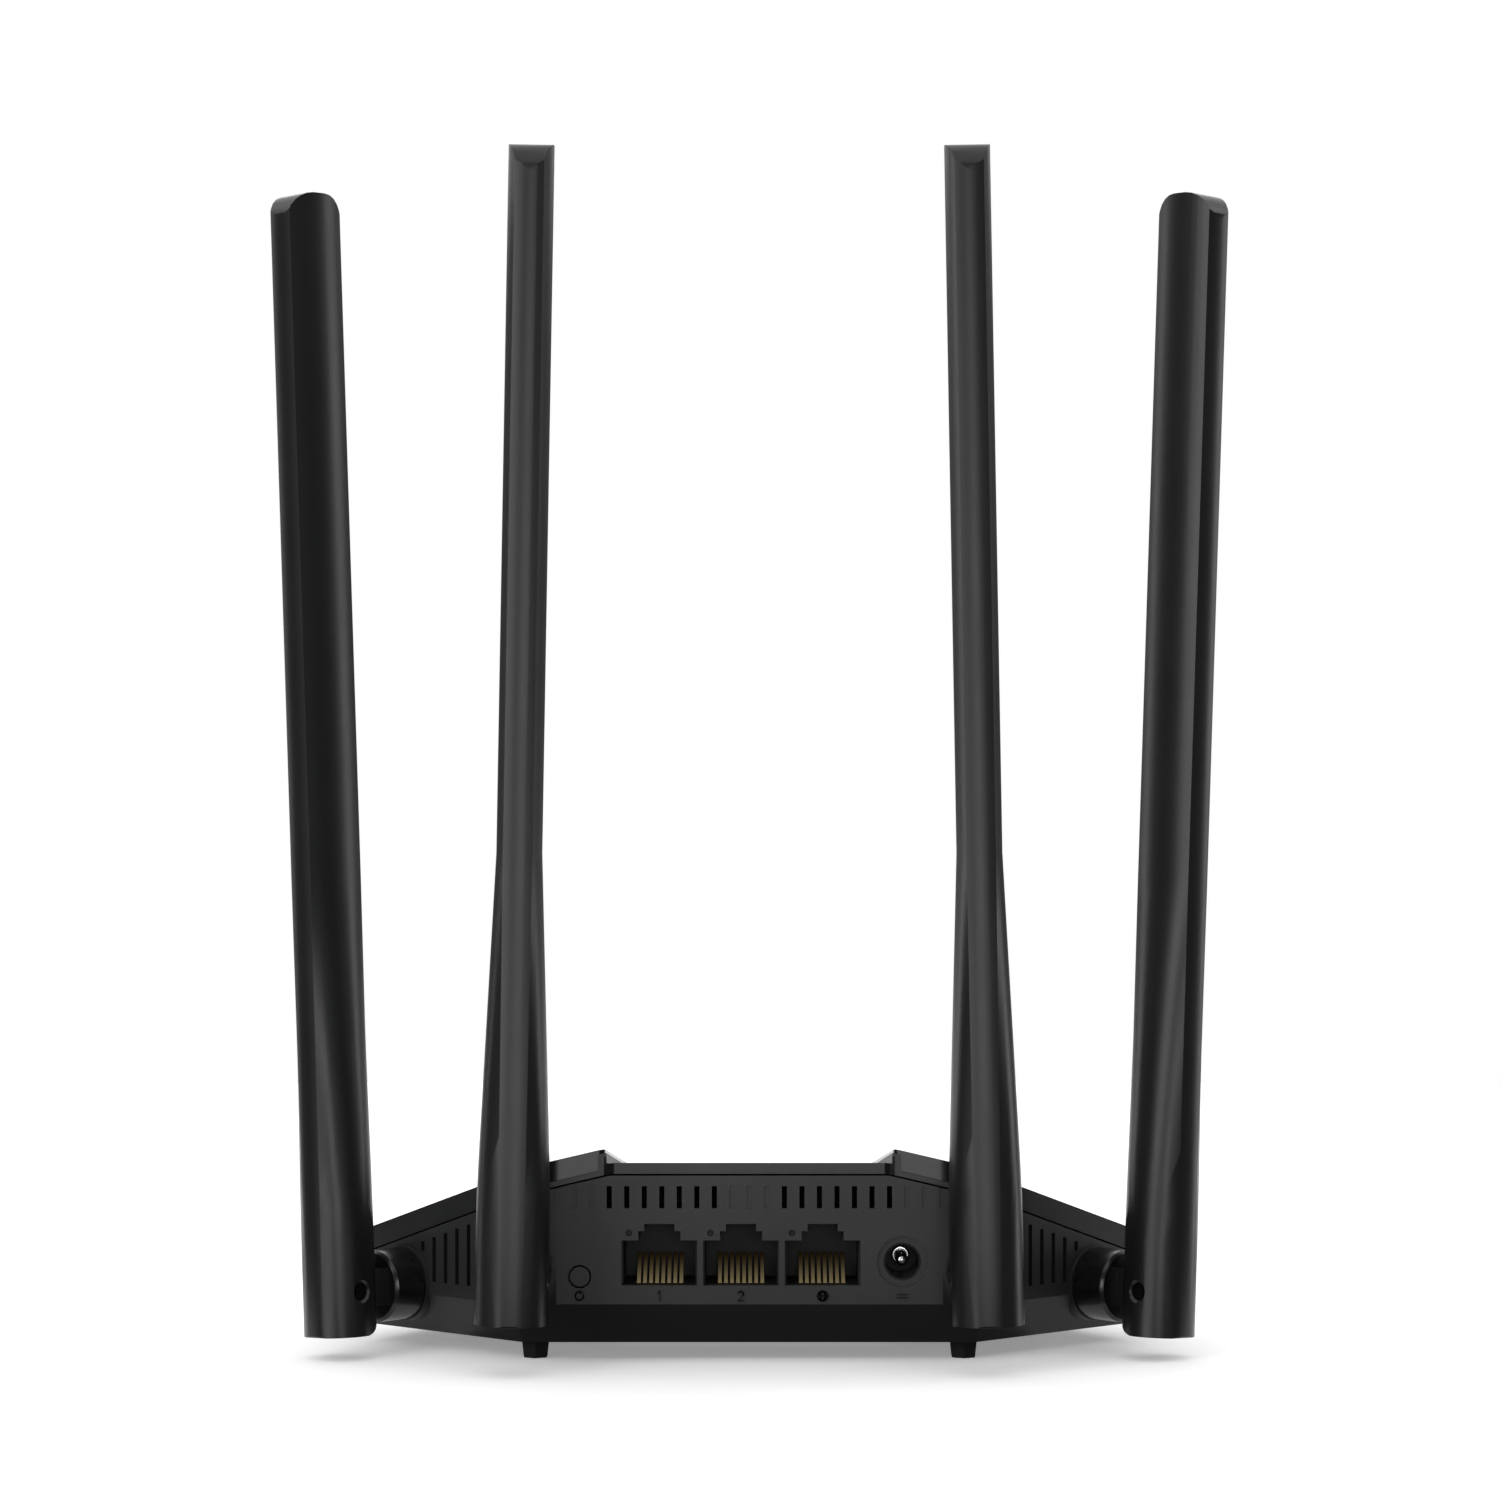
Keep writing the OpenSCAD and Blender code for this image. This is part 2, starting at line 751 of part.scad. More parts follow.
module power_inlet_pin() {
    color("#c9ccd0") framed() translate([inlet_x, wall + 0.6, inlet_z]) rotate([-90, 0, 0]) {
        cylinder(h = 0.5, r1 = inlet_pin_d / 2 - 0.4, r2 = inlet_pin_d / 2);
        translate([0, 0, 0.5]) cylinder(h = 7.9, d = inlet_pin_d);
    }
}

module power_inlet_spring() {
    color("#c3c6c9") framed() translate([inlet_x - 0.8, wall + 1.2, inlet_z + inlet_d / 2 - 0.3])
        rotate([-4, 0, 0]) cube([1.6, 7.2, 0.3]);
}

module reset_button() {
    color("#333538") framed() translate([button_x, 0, button_z]) rotate([-90, 0, 0]) {
        cylinder(h = wall + 0.2, d = button_d);
        translate([0, 0, wall + 0.15]) cylinder(h = 0.8, r = 2.5);
        translate([0, 0, wall + 0.9]) cylinder(h = 1.35, r = 0.9);
    }
}

module reset_switch() {
    y0 = wall + 3;
    color("#2a2a2c") framed() difference() {
        translate([button_x - 3, y0, board_top]) cube([6, 3.6, button_h + 2.4]);
        translate([button_x, y0 - 1, button_z]) rotate([-90, 0, 0]) cylinder(h = 3, r = 1.4 + edge_gap);
    }
}

module reset_plunger() {
    color("#b8b8ba") framed() translate([button_x, wall + 2.25, button_z]) rotate([-90, 0, 0])
        cylinder(h = 1.9, r = 1.4);
}

// ---- antennas ----

// round base that turns in the case and carries the antenna on a flat tongue
module swivel(s) {
    depth = s[3];
    inner_end = depth + edge_gap + flange_t;
    start = collar_proud + edge_gap;
    bevel = 0.5;
    color("#1a1b1d") framed() at_leaned(s) difference() {
        union() {
            swivel_bar(inner_end, base_out - 1, neck_d / 2);
            swivel_bar(inner_end, -depth - edge_gap, flange_r);
            swivel_bar(-start, base_out - bevel, base_r);
            rotate([90, 0, 0]) translate([0, 0, base_out - bevel])
                cylinder(h = bevel, r1 = base_r, r2 = base_r - bevel);
            translate([-tongue_t / 2, -pin_out, -tongue_r])
                cube([tongue_t, pin_out - base_out + 1, 2 * tongue_r]);
            translate([-tongue_t / 2, -pin_out, 0]) rotate([0, 90, 0]) cylinder(h = tongue_t, r = tongue_r);
        }
        translate([-tongue_t, -pin_out, 0]) rotate([0, 90, 0])
            cylinder(h = 2 * tongue_t, r = pin_d / 2 + run_gap);
        swivel_bar(inner_end + 1, base_out + 2, cable_r);
        translate([0, -base_out - 1.6, 0]) cylinder(h = 8, r = cable_r);
    }
}

// how far the section has gone from the round foot, 0, to the blade, 1
function taper(h) =
    let (
        soft = 9,
        full = taper_high - taper_low,
        t = h - taper_low
    )
    t < -soft ? 0 : t < soft ? (t + soft) * (t + soft) / (4 * soft) / full : min(1, t / full);

// points of a section: across the wide face, then round the narrow one
wide_steps = [for (i = [-6:6]) i / 6];
edge_steps = [0.5, 0, -0.5];
corner_v = ant_w / 2 - edge_crown;

// half thickness of an antenna at v across its width, for a given taper
function half_t(v, f) =
    let (
        sag = (ant_t - ant_edge) / 2,
        big = (corner_v * corner_v + sag * sag) / (2 * sag)
    )
    (1 - f) * sqrt(ant_w * ant_w / 4 - v * v) + f * (sqrt(big * big - v * v) - big + ant_t / 2);

// reach of the narrow face at u across the thickness
function half_v(u, f) =
    let (share = 2 * u / ant_edge)
    (1 - f) * sqrt(ant_w * ant_w / 4 - u * u) + f * (ant_w / 2 - edge_crown * share * share);

function section(h) =
    let (
        f = taper(h),
        corner_u = half_t(corner_v, f)
    )
    concat(
        [for (t = wide_steps) [half_t(corner_v * t, f), corner_v * t]],
        [for (t = edge_steps) [corner_u * t, half_v(corner_u * t, f)]],
        [for (t = wide_steps) [-half_t(corner_v * t, f), -corner_v * t]],
        [for (t = edge_steps) [-corner_u * t, -half_v(corner_u * t, f)]]
    );
ring_heights = concat([0], [for (h = [taper_low - 9:5:taper_high]) h], [taper_high, ant_len]);

// blade that grows out of a round foot, along Z from the foot, centred on the axis
module antenna_loft() {
    rings = [for (h = ring_heights) section(h)];
    m = len(rings[0]);
    n = len(rings);
    polyhedron(
        points = [for (j = [0:n - 1]) for (p = rings[j]) [p.x, p.y, ring_heights[j]]],
        faces = concat(
            [[for (i = [m - 1:-1:0]) i]],
            [[for (i = [0:m - 1]) (n - 1) * m + i]],
            [for (j = [0:n - 2]) for (i = [0:m - 1])
                let (k = (i + 1) % m)
                [j * m + i, j * m + k, (j + 1) * m + k, (j + 1) * m + i]]
        )
    );
}

// side view of an antenna, seen along the pin: X towards the case, Y up, from the pin
function antenna_profile() =
    let (
        inner = pin_off + ant_w / 2,
        outer = pin_off - ant_w / 2,
        top = ant_len - pin_h,
        toe = 0.6,
        reach = acos(inner / cam_r)
    )
    concat(
        [for (a = [90:15:180]) [outer + tip_r + tip_r * cos(a), top - tip_r + tip_r * sin(a)]],
        [for (a = [180:30:270]) [outer + toe + toe * cos(a), -pin_h + toe + toe * sin(a)]],
        [for (i = [0:6])
            let (a = -90 + (90 - reach) * i / 6)
            [cam_r * cos(a), max(-pin_h, cam_r * sin(a))]],
        [for (a = [0:15:90]) [inner - tip_r + tip_r * cos(a), top - tip_r + tip_r * sin(a)]]
    );

module antenna(s) {
    color("#202123") framed() at_pin(s) difference() {
        intersection() {
            translate([0, pin_off, -pin_h]) antenna_loft();
            rotate([0, 0, 90]) rotate([90, 0, 0]) linear_extrude(2 * ant_w, center = true)
                polygon(antenna_profile());
        }
        // slot for the tongue, open towards the case and below
        slot_w = tongue_t + 2 * slide_gap;
        translate([-slot_w / 2, 0, 0]) {
            rotate([0, 90, 0]) cylinder(h = slot_w, r = slot_r);
            translate([0, 0, -2 * slot_r - ant_w]) cube([slot_w, ant_w, 3 * slot_r + ant_w]);
            translate([0, -slot_r, -ant_w]) cube([slot_w, ant_w, ant_w]);
        }
        translate([-ant_w, 0, 0]) rotate([0, 90, 0]) cylinder(h = 2 * ant_w, d = pin_d);
        for (a = [-1, 1]) scale([a, 1, 1]) translate([ant_w / 2 - 1.5, 0, 0]) rotate([0, 90, 0]) {
            cylinder(h = ant_w, r = pin_d / 2 + 0.35);
            translate([0, 0, 1]) cylinder(h = 0.6, r1 = pin_d / 2 + 0.35, r2 = pin_d / 2 + 0.9);
        }
        // room for the radiator and its cable
        translate([-1.9, pin_off - 4.5, 8]) cube([3.8, 9, ant_len - pin_h - 8 - 2.5]);
        translate([0, pin_off, 0]) cylinder(h = 9, r = 1.2);
    }
}

module hinge_pin(s) {
    color("#77797d") framed() at_pin(s) rotate([0, 90, 0])
        cylinder(h = ant_w - 1.2, d = pin_d, center = true);
}

module radiator(s) {
    color("#b8733a") framed() at_pin(s) translate([0, pin_off, 0]) {
        translate([-0.4, -4, 10]) cube([0.8, 8, ant_len * 0.6]);
        translate([0, 0, 4.4]) cylinder(h = 5.8, r = 0.55);
    }
}

// thin cable from a right hand swivel's bore to its plug on the board
module lead(s) {
    inner = s[3] == inner_depth;
    yaw = s[1];
    inwards = [-sin(yaw), cos(yaw), 0];
    start = s[0] + inwards * (s[3] + (inner ? -1 : 1));
    turn = s[0] + inwards * (s[3] + 4.6) + [0, 0, inner ? -0.4 : 1.6];
    low = board_top + lead_r + 0.2;
    // the inner cables land close to the strip, the outer ones further forward
    dip = inner ? [turn.x - 2, board_strip_y + 4, low] : [board_x - 3, turn.y + 5, low];
    plug = inner ? [board_x - 11, board_strip_y + 10, low] : [board_x - 14, turn.y + 9, low];
    route = [start, turn, dip, plug];
    color("#3c3d40") framed() {
        for (i = [0:2]) rod(route[i], route[i + 1], lead_r);
        for (i = [1:3]) translate(route[i]) sphere(r = lead_r + 0.1, $fn = 24);
        translate([plug.x, plug.y, board_top]) cylinder(h = 1.9, r = 1.3);
    }
}

module outer_left_swivel() { swivel(OUTER_LEFT); }
module outer_left_antenna() { antenna(OUTER_LEFT); }
module outer_left_hinge_pin() { hinge_pin(OUTER_LEFT); }
module outer_left_radiator() { radiator(OUTER_LEFT); }
module outer_left_lead() { mirror([1, 0, 0]) lead(OUTER_RIGHT); }
module inner_left_swivel() { swivel(INNER_LEFT); }
module inner_left_antenna() { antenna(INNER_LEFT); }
module inner_left_hinge_pin() { hinge_pin(INNER_LEFT); }
module inner_left_radiator() { radiator(INNER_LEFT); }
module inner_left_lead() { mirror([1, 0, 0]) lead(INNER_RIGHT); }
module inner_right_swivel() { swivel(INNER_RIGHT); }
module inner_right_antenna() { antenna(INNER_RIGHT); }
module inner_right_hinge_pin() { hinge_pin(INNER_RIGHT); }
module inner_right_radiator() { radiator(INNER_RIGHT); }
module inner_right_lead() { lead(INNER_RIGHT); }
module outer_right_swivel() { swivel(OUTER_RIGHT); }
module outer_right_antenna() { antenna(OUTER_RIGHT); }
module outer_right_hinge_pin() { hinge_pin(OUTER_RIGHT); }
module outer_right_radiator() { radiator(OUTER_RIGHT); }
module outer_right_lead() { lead(OUTER_RIGHT); }

bottom_case();
main_housing();
top_cover();
wing_panel_left();
wing_panel_right();
foot_rear_left();
foot_rear_right();
foot_front_left();
foot_front_right();
case_screws();
blank_label();
main_board();
router_chip();
heat_spreader();
memory_chip();
flash_chip();
radio_shields();
network_transformers();
power_inductor();
filter_capacitors();
status_leds();
status_light_pipes();
lan_port_1();
lan_port_2();
wan_port();
lan_port_1_contacts();
lan_port_2_contacts();
wan_port_contacts();
port_lamps();
power_inlet();
power_inlet_pin();
power_inlet_spring();
reset_button();
reset_switch();
reset_plunger();
outer_left_swivel();
outer_left_antenna();
outer_left_hinge_pin();
outer_left_radiator();
outer_left_lead();
inner_left_swivel();
inner_left_antenna();
inner_left_hinge_pin();
inner_left_radiator();
inner_left_lead();
inner_right_swivel();
inner_right_antenna();
inner_right_hinge_pin();
inner_right_radiator();
inner_right_lead();
outer_right_swivel();
outer_right_antenna();
outer_right_hinge_pin();
outer_right_radiator();
outer_right_lead();
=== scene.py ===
# Desktop wireless router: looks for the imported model.
# The case, the antennas and the small parts keep the CAD's shapes; the copies made here get the
# soft edges that moulded parts have, and every piece gets its own finish.
import json
import math

import bmesh
import bpy
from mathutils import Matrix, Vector


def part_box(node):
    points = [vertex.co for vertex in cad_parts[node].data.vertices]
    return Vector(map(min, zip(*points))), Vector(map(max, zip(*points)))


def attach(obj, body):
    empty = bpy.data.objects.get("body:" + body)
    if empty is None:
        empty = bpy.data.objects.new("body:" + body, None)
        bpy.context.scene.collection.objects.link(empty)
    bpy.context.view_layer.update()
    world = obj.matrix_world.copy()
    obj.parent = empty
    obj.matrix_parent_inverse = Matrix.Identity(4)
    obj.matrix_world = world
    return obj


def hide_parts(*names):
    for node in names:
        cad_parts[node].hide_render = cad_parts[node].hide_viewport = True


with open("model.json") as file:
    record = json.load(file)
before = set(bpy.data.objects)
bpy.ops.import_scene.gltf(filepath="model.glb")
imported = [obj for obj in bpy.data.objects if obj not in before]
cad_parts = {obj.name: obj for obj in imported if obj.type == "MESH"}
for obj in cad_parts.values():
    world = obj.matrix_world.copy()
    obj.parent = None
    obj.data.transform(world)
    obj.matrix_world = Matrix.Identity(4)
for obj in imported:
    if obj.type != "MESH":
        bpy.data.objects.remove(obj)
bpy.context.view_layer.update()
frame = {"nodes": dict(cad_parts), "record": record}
mm = 0.001


def linear(hexColour):  # sRGB hex to the linear values that shaders take
    values = [int(hexColour[i:i + 2], 16) / 255 for i in (1, 3, 5)]
    return [v / 12.92 if v <= 0.04045 else ((v + 0.055) / 1.055) ** 2.4 for v in values] + [1.0]


def deselect():
    if bpy.context.object and bpy.context.object.mode != "OBJECT":
        bpy.ops.object.mode_set(mode="OBJECT")
    bpy.ops.object.select_all(action="DESELECT")


def makeActive(piece):
    deselect()
    piece.select_set(True)
    bpy.context.view_layer.objects.active = piece


def applyModifier(piece, kind, name, settings):
    makeActive(piece)
    modifier = piece.modifiers.new(name, kind)
    for key, value in settings.items():
        setattr(modifier, key, value)
    bpy.ops.object.modifier_apply(modifier=modifier.name)


# camera and studio

view = {"place": (0.0001, -0.7916, 0.1022), "lens": 109.3, "sensor": 36.0, "pitch": 90}
cameraData = bpy.data.cameras.new("camera")
cameraData.lens = view["lens"]
cameraData.sensor_width = view["sensor"]
camera = bpy.data.objects.new("camera", cameraData)
camera.location = view["place"]
camera.rotation_euler = (math.radians(view["pitch"]), 0, 0)
bpy.context.scene.collection.objects.link(camera)
bpy.context.scene.camera = camera
bpy.context.scene.view_settings.view_transform = "Standard"

studio = {
    "boxes": {  # place in metres, size, watts: each faces the middle of the router
        "keyBox": ((-0.80, -1.05, 0.36), (0.62, 1.2), 7.0),
        "rightBox": ((1.15, 0.42, 0.25), (0.30, 1.4), 3.4),
        "leftBox": ((-1.02, 0.66, 0.25), (0.22, 1.4), 2.4),
        "lensFill": ((0.06, -1.30, 0.16), (0.34, 0.34), 1.6),
        "rearBox": ((0.0, 1.25, 0.62), (1.6, 0.5), 4.0),
    },
    "aim": (0, 0, 0.10),
    "skyStrength": 2.2,
    "skySpread": 120,
    "skyLean": -6,
    "ambient": 0.10,
    "floorRadius": 0.62,
    "floorSides": 96,
    "floorGlow": 0.28,
    "cardHeight": 0.0005,
    "cards": {  # reach along X, along Y, glow
        "frontTable": ((-0.36, 0.13), (-0.75, -0.13), 0.85),
        "rearTable": ((-0.35, 0.35), (0.10, 0.85), 0.85),
        "leftApron": ((-0.13, -0.05), (-0.033, 0.06), 0.34),
        "rightApron": ((0.05, 0.13), (-0.033, 0.06), 0.34),
    },
}
for name, (place, size, watts) in studio["boxes"].items():
    boxData = bpy.data.lights.new(name, "AREA")
    boxData.shape = "RECTANGLE"
    boxData.size, boxData.size_y = size
    boxData.energy = watts
    box = bpy.data.objects.new(name, boxData)
    box.location = place
    box.rotation_euler = (Vector(studio["aim"]) - Vector(place)).to_track_quat("-Z", "Y").to_euler()
    bpy.context.scene.collection.objects.link(box)
skyData = bpy.data.lights.new("overheadSilk", "SUN")
skyData.energy = studio["skyStrength"]
skyData.angle = math.radians(studio["skySpread"])
sky = bpy.data.objects.new("overheadSilk", skyData)
sky.rotation_euler = (math.radians(studio["skyLean"]), 0, 0)
bpy.context.scene.collection.objects.link(sky)


def addNode(tree, kind, settings=None, links=None):
    node = tree.nodes.new(kind)
    for key, value in (settings or {}).items():
        if isinstance(key, int) or key in node.inputs:
            node.inputs[key].default_value = value
        else:
            setattr(node, key, value)
    for key, source in (links or {}).items():
        tree.links.new(source, node.inputs[key])
    return node


world = bpy.data.worlds.new("studioWorld")
world.use_nodes = True
world.node_tree.nodes.clear()
white = addNode(world.node_tree, "ShaderNodeBackground", {"Color": (1, 1, 1, 1), "Strength": 1.0})
dim = addNode(world.node_tree, "ShaderNodeBackground",
              {"Color": (1, 1, 1, 1), "Strength": studio["ambient"]})
path = addNode(world.node_tree, "ShaderNodeLightPath")
both = addNode(world.node_tree, "ShaderNodeMixShader", None,
               {0: path.outputs["Is Camera Ray"], 1: dim.outputs[0], 2: white.outputs[0]})
addNode(world.node_tree, "ShaderNodeOutputWorld", None, {"Surface": both.outputs[0]})
bpy.context.scene.world = world

deselect()
bpy.ops.mesh.primitive_circle_add(vertices=studio["floorSides"], radius=studio["floorRadius"],
                                  fill_type="NGON")
floor = bpy.context.object
floor.name = "floor"
floor.visible_diffuse = False  # its bounce would grey the undersides
floor.visible_glossy = False
# the parts of the table that the panel, the flanks, the sockets' metal and the wings' ends mirror
cards = {}
for name, ((cardLeft, cardRight), (cardNear, cardFar), glow) in studio["cards"].items():
    deselect()
    middle = ((cardLeft + cardRight) / 2, (cardNear + cardFar) / 2, studio["cardHeight"])
    bpy.ops.mesh.primitive_plane_add(size=1, location=middle)
    card = bpy.context.object
    card.name = name
    card.scale = (cardRight - cardLeft, cardFar - cardNear, 1)
    card.visible_camera = False
    card.visible_diffuse = False
    card.visible_shadow = False
    cards[name] = (card, glow)
print("camera and studio ready")

# finishes


def newFinish(name):
    finish = bpy.data.materials.new(name)
    finish.use_nodes = True
    finish.node_tree.nodes.clear()
    tree = finish.node_tree
    place = addNode(tree, "ShaderNodeTexCoord").outputs["Object"]
    return finish, tree, place


def closeFinish(tree, settings, links):
    shader = addNode(tree, "ShaderNodeBsdfPrincipled", settings, links)
    addNode(tree, "ShaderNodeOutputMaterial", None, {"Surface": shader.outputs[0]})


def between(tree, factor, low, high):  # a value that follows a 0..1 pattern
    ramp = addNode(tree, "ShaderNodeMapRange", {"To Min": low, "To Max": high}, {"Value": factor})
    return ramp.outputs[0]


def colourBetween(tree, factor, first, second):
    mix = addNode(tree, "ShaderNodeMix", {"data_type": "RGBA", 6: linear(first), 7: linear(second)},
                  {0: factor})
    return mix.outputs[2]


# moulded ABS and similar: a spark-eroded grain and slow changes in sheen
def mouldedPlastic(name, dark, light, roughness, grain, depth, ior=1.52):
    finish, tree, place = newFinish(name)
    speckle = addNode(tree, "ShaderNodeTexNoise",
                      {"Scale": 1 / (grain * mm), "Detail": 3.0, "Roughness": 0.6}, {"Vector": place})
    cloud = addNode(tree, "ShaderNodeTexNoise", {"Scale": 1 / (14 * mm), "Detail": 2.0},
                    {"Vector": place})
    blend = addNode(tree, "ShaderNodeMath", {"operation": "MULTIPLY_ADD", 1: 0.45, 2: 0.25},
                    {0: speckle.outputs[0]})
    tint = colourBetween(tree, blend.outputs[0], dark, light)
    sheen = between(tree, cloud.outputs[0], roughness - 0.04, roughness + 0.04)
    bump = addNode(tree, "ShaderNodeBump", {"Strength": depth, "Distance": 0.05 * mm},
                   {"Height": speckle.outputs[0]})
    closeFinish(tree, {"IOR": ior}, {"Base Color": tint, "Roughness": sheen, "Normal": bump.outputs[0]})
    return finish


# high-gloss ABS: near mirror, with faint handling haze and hairlines
def glossPlastic(name, dark, light, roughness):
    finish, tree, place = newFinish(name)
    haze = addNode(tree, "ShaderNodeTexNoise", {"Scale": 1 / (18 * mm), "Detail": 4.0},
                   {"Vector": place})
    stretch = addNode(tree, "ShaderNodeMapping", {"Scale": (1.0, 0.06, 1.0), "Rotation": (0, 0, 0.6)},
                      {"Vector": place})
    hairline = addNode(tree, "ShaderNodeTexNoise", {"Scale": 1 / (0.35 * mm), "Detail": 1.0},
                       {"Vector": stretch.outputs[0]})
    worn = addNode(tree, "ShaderNodeMath", {"operation": "MULTIPLY"},
                   {0: haze.outputs[0], 1: hairline.outputs[0]})
    tint = colourBetween(tree, haze.outputs[0], dark, light)
    sheen = between(tree, worn.outputs[0], roughness, roughness + 0.14)
    bump = addNode(tree, "ShaderNodeBump", {"Strength": 0.03, "Distance": 0.02 * mm},
                   {"Height": hairline.outputs[0]})
    closeFinish(tree, {"IOR": 1.54},
                {"Base Color": tint, "Roughness": sheen, "Normal": bump.outputs[0]})
    return finish


# plated or bare metal: grain drawn out along one way, duller between its lines
def metalFinish(name, dark, light, roughness, grain, stretched=(1.0, 1.0, 1.0), depth=0.1):
    finish, tree, place = newFinish(name)
    drawn = addNode(tree, "ShaderNodeMapping", {"Scale": stretched}, {"Vector": place})
    lines = addNode(tree, "ShaderNodeTexNoise", {"Scale": 1 / (grain * mm), "Detail": 3.0},
                    {"Vector": drawn.outputs[0]})
    tint = colourBetween(tree, lines.outputs[0], dark, light)
    sheen = between(tree, lines.outputs[0], roughness - 0.05, roughness + 0.08)
    bump = addNode(tree, "ShaderNodeBump", {"Strength": depth, "Distance": 0.02 * mm},
                   {"Height": lines.outputs[0]})
    closeFinish(tree, {"Metallic": 1.0},
                {"Base Color": tint, "Roughness": sheen, "Normal": bump.outputs[0]})
    return finish


# gold plated wires with painted shade: bright at their lower ends, darker where they rise into the jack
def goldWithPaintedShade(name, low, high):
    finish, tree, place = newFinish(name)
    height = addNode(tree, "ShaderNodeSeparateXYZ", None, {0: place}).outputs[2]
    rise = addNode(tree, "ShaderNodeMapRange",
                   {"From Min": low, "From Max": high, "To Min": 1.0, "To Max": 0.0}, {"Value": height})
    paintedShade = addNode(tree, "ShaderNodeMath", {"operation": "POWER", 1: 1.8}, {0: rise.outputs[0]})
    wear = addNode(tree, "ShaderNodeTexNoise", {"Scale": 1 / (0.5 * mm), "Detail": 2.0},
                   {"Vector": place})
    tint = colourBetween(tree, paintedShade.outputs[0], "#3a2b12", "#f0d9a4")
    sheen = between(tree, wear.outputs[0], 0.24, 0.36)
    # painted glow: the wires give off light in their own tint, though they are no lamp
    closeFinish(tree, {"Metallic": 1.0, "Emission Strength": 0.2},
                {"Base Color": tint, "Emission Color": tint, "Roughness": sheen})
    return finish


# solder mask over copper: tracks and flooded areas show as a paler green
def solderMask(name):
    finish, tree, place = newFinish(name)
    tracks = addNode(tree, "ShaderNodeTexVoronoi",
                     {"feature": "DISTANCE_TO_EDGE", "distance": "EUCLIDEAN", "Scale": 1 / (2.6 * mm)},
                     {"Vector": place})
    edge = addNode(tree, "ShaderNodeMath", {"operation": "GREATER_THAN", 1: 0.09},
                   {0: tracks.outputs[0]})
    tint = colourBetween(tree, edge.outputs[0], "#0d3a22", "#1c6a3c")
    bump = addNode(tree, "ShaderNodeBump", {"Strength": 0.2, "Distance": 0.03 * mm},
                   {"Height": edge.outputs[0]})
    closeFinish(tree, {"Roughness": 0.32, "IOR": 1.5}, {"Base Color": tint, "Normal": bump.outputs[0]})
    return finish


# moulded clear acrylic with a frosted end
def acrylicFinish(name):
    finish, tree, place = newFinish(name)
    frost = addNode(tree, "ShaderNodeTexNoise", {"Scale": 1 / (0.2 * mm), "Detail": 2.0},
                    {"Vector": place})
    sheen = between(tree, frost.outputs[0], 0.15, 0.45)
    tint = colourBetween(tree, frost.outputs[0], "#aab4b6", "#d9e2e4")
    closeFinish(tree, {"IOR": 1.49, "Transmission Weight": 0.35},
                {"Base Color": tint, "Roughness": sheen})
    return finish


contactFoot, contactTop = (corner[2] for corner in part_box("lan_port_1_contacts"))
